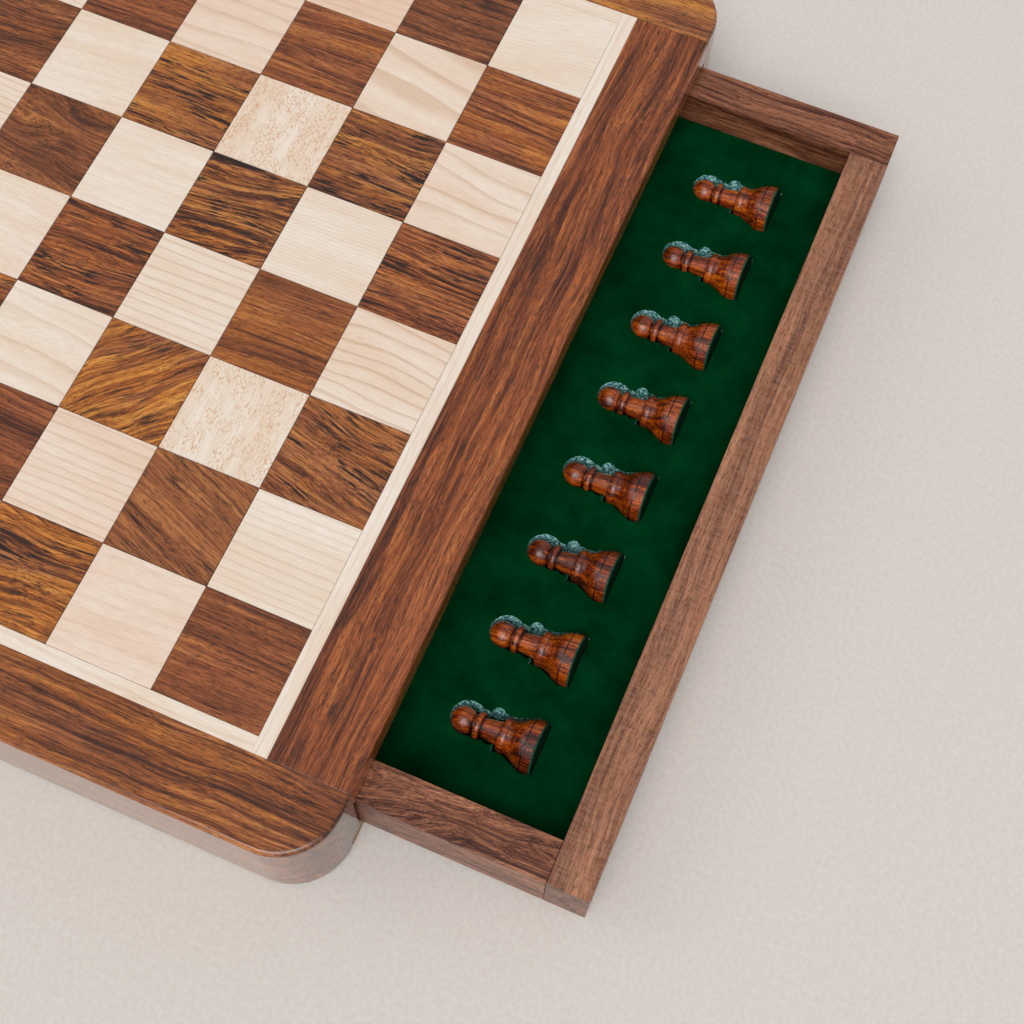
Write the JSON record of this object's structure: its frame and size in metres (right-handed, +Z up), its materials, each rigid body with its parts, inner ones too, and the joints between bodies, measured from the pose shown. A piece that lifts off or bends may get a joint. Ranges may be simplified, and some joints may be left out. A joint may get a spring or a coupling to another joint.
{
  "type": "chess box with drawers",
  "caption": "Flat square chess box: an inlaid wooden board with rounded corners over two sliding drawers whose velvet trays hold the turned chessmen.",
  "frame": {"origin": "middle of the box's footprint, on the surface it stands on", "axes": "+X along the drawers' travel, toward the drawer with the dark men; +Y to the far side of the box; +Z up out of the playing surface"},
  "size_m": [0.434, 0.302, 0.038],
  "materials": {
    "sheesham": "gloss varnish",
    "dark_sheesham": "satin varnish",
    "maple": "satin varnish",
    "plywood": "sanded, bare",
    "green_felt": "matt felt",
    "green_velvet": "flocked",
    "dark_chessmen": "gloss lacquer",
    "pale_chessmen": "gloss lacquer"
  },
  "bodies": {
    "case": {"near_rail": "sheesham", "far_rail": "sheesham", "right_top_rail": "sheesham", "left_top_rail": "sheesham", "near_border_strip": "maple", "far_border_strip": "maple", "right_border_strip": "maple", "left_border_strip": "maple", "light_squares": "maple", "dark_squares": "dark_sheesham", "board_core": "plywood", "centre_partition": "plywood", "base_panel": "plywood", "base_felt": "green_felt"},
    "right_drawer": {"right_drawer_front": "sheesham", "right_drawer_back": "sheesham", "right_drawer_near_side": "sheesham", "right_drawer_far_side": "sheesham", "right_drawer_bottom": "plywood", "right_drawer_velvet_tray": "green_velvet", "dark_rook_1": "dark_chessmen", "dark_knight_1": "dark_chessmen", "dark_bishop_1": "dark_chessmen", "dark_queen": "dark_chessmen", "dark_king": "dark_chessmen", "dark_bishop_2": "dark_chessmen", "dark_knight_2": "dark_chessmen", "dark_rook_2": "dark_chessmen"},
    "left_drawer": {"left_drawer_front": "sheesham", "left_drawer_back": "sheesham", "left_drawer_near_side": "sheesham", "left_drawer_far_side": "sheesham", "left_drawer_bottom": "plywood", "left_drawer_velvet_tray": "green_velvet", "light_rook_1": "pale_chessmen", "light_knight_1": "pale_chessmen", "light_bishop_1": "pale_chessmen", "light_queen": "pale_chessmen", "light_king": "pale_chessmen", "light_bishop_2": "pale_chessmen", "light_knight_2": "pale_chessmen", "light_rook_2": "pale_chessmen"},
    "dark_pawn_1": {"dark_pawn_1": "dark_chessmen"},
    "dark_pawn_2": {"dark_pawn_2": "dark_chessmen"},
    "dark_pawn_3": {"dark_pawn_3": "dark_chessmen"},
    "dark_pawn_4": {"dark_pawn_4": "dark_chessmen"},
    "dark_pawn_5": {"dark_pawn_5": "dark_chessmen"},
    "dark_pawn_6": {"dark_pawn_6": "dark_chessmen"},
    "dark_pawn_7": {"dark_pawn_7": "dark_chessmen"},
    "dark_pawn_8": {"dark_pawn_8": "dark_chessmen"},
    "light_pawn_1": {"light_pawn_1": "pale_chessmen"},
    "light_pawn_2": {"light_pawn_2": "pale_chessmen"},
    "light_pawn_3": {"light_pawn_3": "pale_chessmen"},
    "light_pawn_4": {"light_pawn_4": "pale_chessmen"},
    "light_pawn_5": {"light_pawn_5": "pale_chessmen"},
    "light_pawn_6": {"light_pawn_6": "pale_chessmen"},
    "light_pawn_7": {"light_pawn_7": "pale_chessmen"},
    "light_pawn_8": {"light_pawn_8": "pale_chessmen"}
  },
  "joints": [
    {"name": "right_drawer_slide", "type": "slide", "parent": "case", "child": "right_drawer", "axis": [1, 0, 0], "range_m": [-0.065, 0.06]},
    {"name": "left_drawer_slide", "type": "slide", "parent": "case", "child": "left_drawer", "axis": [-1, 0, 0], "range_m": [-0.065, 0.06]},
    {"name": "dark_pawn_1_lift", "type": "slide", "parent": "right_drawer", "child": "dark_pawn_1", "axis": [0, 0, 1], "range_m": [0, 0.03]},
    {"name": "dark_pawn_2_lift", "type": "slide", "parent": "right_drawer", "child": "dark_pawn_2", "axis": [0, 0, 1], "range_m": [0, 0.03]},
    {"name": "dark_pawn_3_lift", "type": "slide", "parent": "right_drawer", "child": "dark_pawn_3", "axis": [0, 0, 1], "range_m": [0, 0.03]},
    {"name": "dark_pawn_4_lift", "type": "slide", "parent": "right_drawer", "child": "dark_pawn_4", "axis": [0, 0, 1], "range_m": [0, 0.03]},
    {"name": "dark_pawn_5_lift", "type": "slide", "parent": "right_drawer", "child": "dark_pawn_5", "axis": [0, 0, 1], "range_m": [0, 0.03]},
    {"name": "dark_pawn_6_lift", "type": "slide", "parent": "right_drawer", "child": "dark_pawn_6", "axis": [0, 0, 1], "range_m": [0, 0.03]},
    {"name": "dark_pawn_7_lift", "type": "slide", "parent": "right_drawer", "child": "dark_pawn_7", "axis": [0, 0, 1], "range_m": [0, 0.03]},
    {"name": "dark_pawn_8_lift", "type": "slide", "parent": "right_drawer", "child": "dark_pawn_8", "axis": [0, 0, 1], "range_m": [0, 0.03]},
    {"name": "light_pawn_1_lift", "type": "slide", "parent": "left_drawer", "child": "light_pawn_1", "axis": [0, 0, 1], "range_m": [0, 0.03]},
    {"name": "light_pawn_2_lift", "type": "slide", "parent": "left_drawer", "child": "light_pawn_2", "axis": [0, 0, 1], "range_m": [0, 0.03]},
    {"name": "light_pawn_3_lift", "type": "slide", "parent": "left_drawer", "child": "light_pawn_3", "axis": [0, 0, 1], "range_m": [0, 0.03]},
    {"name": "light_pawn_4_lift", "type": "slide", "parent": "left_drawer", "child": "light_pawn_4", "axis": [0, 0, 1], "range_m": [0, 0.03]},
    {"name": "light_pawn_5_lift", "type": "slide", "parent": "left_drawer", "child": "light_pawn_5", "axis": [0, 0, 1], "range_m": [0, 0.03]},
    {"name": "light_pawn_6_lift", "type": "slide", "parent": "left_drawer", "child": "light_pawn_6", "axis": [0, 0, 1], "range_m": [0, 0.03]},
    {"name": "light_pawn_7_lift", "type": "slide", "parent": "left_drawer", "child": "light_pawn_7", "axis": [0, 0, 1], "range_m": [0, 0.03]},
    {"name": "light_pawn_8_lift", "type": "slide", "parent": "left_drawer", "child": "light_pawn_8", "axis": [0, 0, 1], "range_m": [0, 0.03]}
  ]
}
